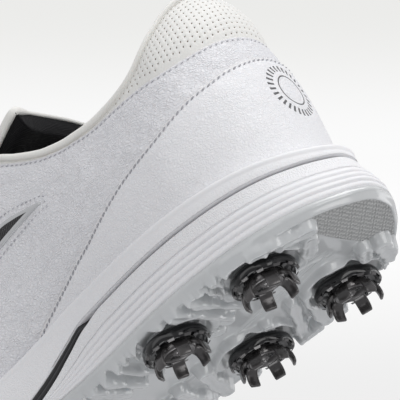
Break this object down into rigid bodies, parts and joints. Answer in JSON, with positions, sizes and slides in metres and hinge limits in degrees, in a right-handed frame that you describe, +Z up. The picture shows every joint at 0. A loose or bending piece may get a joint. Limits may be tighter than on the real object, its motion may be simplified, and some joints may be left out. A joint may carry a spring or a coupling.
{
  "type": "golf shoe",
  "caption": "Laced leather golf shoe for the right foot, with a padded collar, layered foam midsole, shank plate and removable twist-lock spikes in a moulded outsole.",
  "frame": {"origin": "middle of the footprint on the ground plane that the spike tips touch", "axes": "+X towards the toe, +Y towards the medial side (right foot), +Z up"},
  "size_m": [0.2985, 0.107, 0.1096],
  "materials": {
    "tumbled_leather": "white full-grain leather, tumbled grain",
    "smooth_leather": "white smooth coated leather",
    "perforated_leather": "warm white leather with a grid of small perforations",
    "binding": "ivory rolled edge binding",
    "black_lining": "black knitted lining",
    "padding": "open cell padding foam",
    "stiffener": "thermoformed stiffener sheet",
    "side_frame": "light grey welded film edge",
    "side_inlay": "black glittered inlay",
    "strobel": "stitched bottom board",
    "sockliner": "cloth covered foam insole",
    "midsole_foam": "white moulded foam",
    "shank": "black glossy composite plate",
    "outsole_tpu": "glossy slightly translucent light grey polyurethane",
    "heel_pad": "grey pad with a fine dotted texture",
    "receptacle": "moulded locking socket",
    "spike_cleat": "black glossy spike polymer",
    "spike_hub": "gunmetal grey hard plastic stud",
    "lace": "white flat woven lace"
  },
  "bodies": {
    "shoe": {"collar_binding": "binding", "collar_foam": "padding", "collar_tab": "perforated_leather", "eyestay_lateral": "smooth_leather", "eyestay_medial": "smooth_leather", "heel_counter_panel": "smooth_leather", "heel_pad": "heel_pad", "heel_stiffener": "stiffener", "lace": "lace", "midsole_carrier": "midsole_foam", "midsole_heel_wedge": "midsole_foam", "outsole": "outsole_tpu", "quarter_lateral": "tumbled_leather", "quarter_lining": "black_lining", "quarter_medial": "tumbled_leather", "shank_plate": "shank", "side_frame_lateral": "side_frame", "side_frame_medial": "side_frame", "side_inlay_lateral": "side_inlay", "side_inlay_medial": "side_inlay", "sockliner": "sockliner", "spike_receptacles": "receptacle", "strobel_board": "strobel", "toe_lining": "black_lining", "toe_puff": "stiffener", "vamp": "tumbled_leather", "vamp_lining_lateral": "black_lining", "vamp_lining_medial": "black_lining"},
    "tongue": {"tongue_face": "smooth_leather", "tongue_foam": "padding", "tongue_lining": "black_lining"},
    "spike_heel_medial": {"spike_heel_medial_cleat": "spike_cleat", "spike_heel_medial_stud": "spike_hub"},
    "spike_heel_lateral": {"spike_heel_lateral_cleat": "spike_cleat", "spike_heel_lateral_stud": "spike_hub"},
    "spike_waist_medial": {"spike_waist_medial_cleat": "spike_cleat", "spike_waist_medial_stud": "spike_hub"},
    "spike_waist_lateral": {"spike_waist_lateral_cleat": "spike_cleat", "spike_waist_lateral_stud": "spike_hub"},
    "spike_ball_medial": {"spike_ball_medial_cleat": "spike_cleat", "spike_ball_medial_stud": "spike_hub"},
    "spike_ball_lateral": {"spike_ball_lateral_cleat": "spike_cleat", "spike_ball_lateral_stud": "spike_hub"},
    "spike_toe_medial": {"spike_toe_medial_cleat": "spike_cleat", "spike_toe_medial_stud": "spike_hub"},
    "spike_toe_lateral": {"spike_toe_lateral_cleat": "spike_cleat", "spike_toe_lateral_stud": "spike_hub"}
  },
  "joints": [
    {"name": "tongue_swing", "type": "hinge", "parent": "shoe", "child": "tongue", "pos_m": [0.0655, 0, 0.0605], "axis": [0, 1, 0], "range_deg": [-3, 0]},
    {"name": "spike_heel_medial_turn", "type": "hinge", "parent": "shoe", "child": "spike_heel_medial", "pos_m": [-0.11, 0.021, 0.0099], "axis": [0, 0, -1], "range_deg": [-60, 0]},
    {"name": "spike_heel_lateral_turn", "type": "hinge", "parent": "shoe", "child": "spike_heel_lateral", "pos_m": [-0.11, -0.021, 0.0099], "axis": [0, 0, -1], "range_deg": [-60, 0]},
    {"name": "spike_waist_medial_turn", "type": "hinge", "parent": "shoe", "child": "spike_waist_medial", "pos_m": [-0.0721, 0.021, 0.0099], "axis": [0, 0, -1], "range_deg": [-60, 0]},
    {"name": "spike_waist_lateral_turn", "type": "hinge", "parent": "shoe", "child": "spike_waist_lateral", "pos_m": [-0.0721, -0.021, 0.0099], "axis": [0, 0, -1], "range_deg": [-60, 0]},
    {"name": "spike_ball_medial_turn", "type": "hinge", "parent": "shoe", "child": "spike_ball_medial", "pos_m": [0.036, 0.029, 0.0099], "axis": [0, 0, -1], "range_deg": [-60, 0]},
    {"name": "spike_ball_lateral_turn", "type": "hinge", "parent": "shoe", "child": "spike_ball_lateral", "pos_m": [0.032, -0.033, 0.0099], "axis": [0, 0, -1], "range_deg": [-60, 0]},
    {"name": "spike_toe_medial_turn", "type": "hinge", "parent": "shoe", "child": "spike_toe_medial", "pos_m": [0.084, 0.032, 0.0099], "axis": [0, 0, -1], "range_deg": [-60, 0]},
    {"name": "spike_toe_lateral_turn", "type": "hinge", "parent": "shoe", "child": "spike_toe_lateral", "pos_m": [0.078, -0.031, 0.0099], "axis": [0, 0, -1], "range_deg": [-60, 0]}
  ]
}
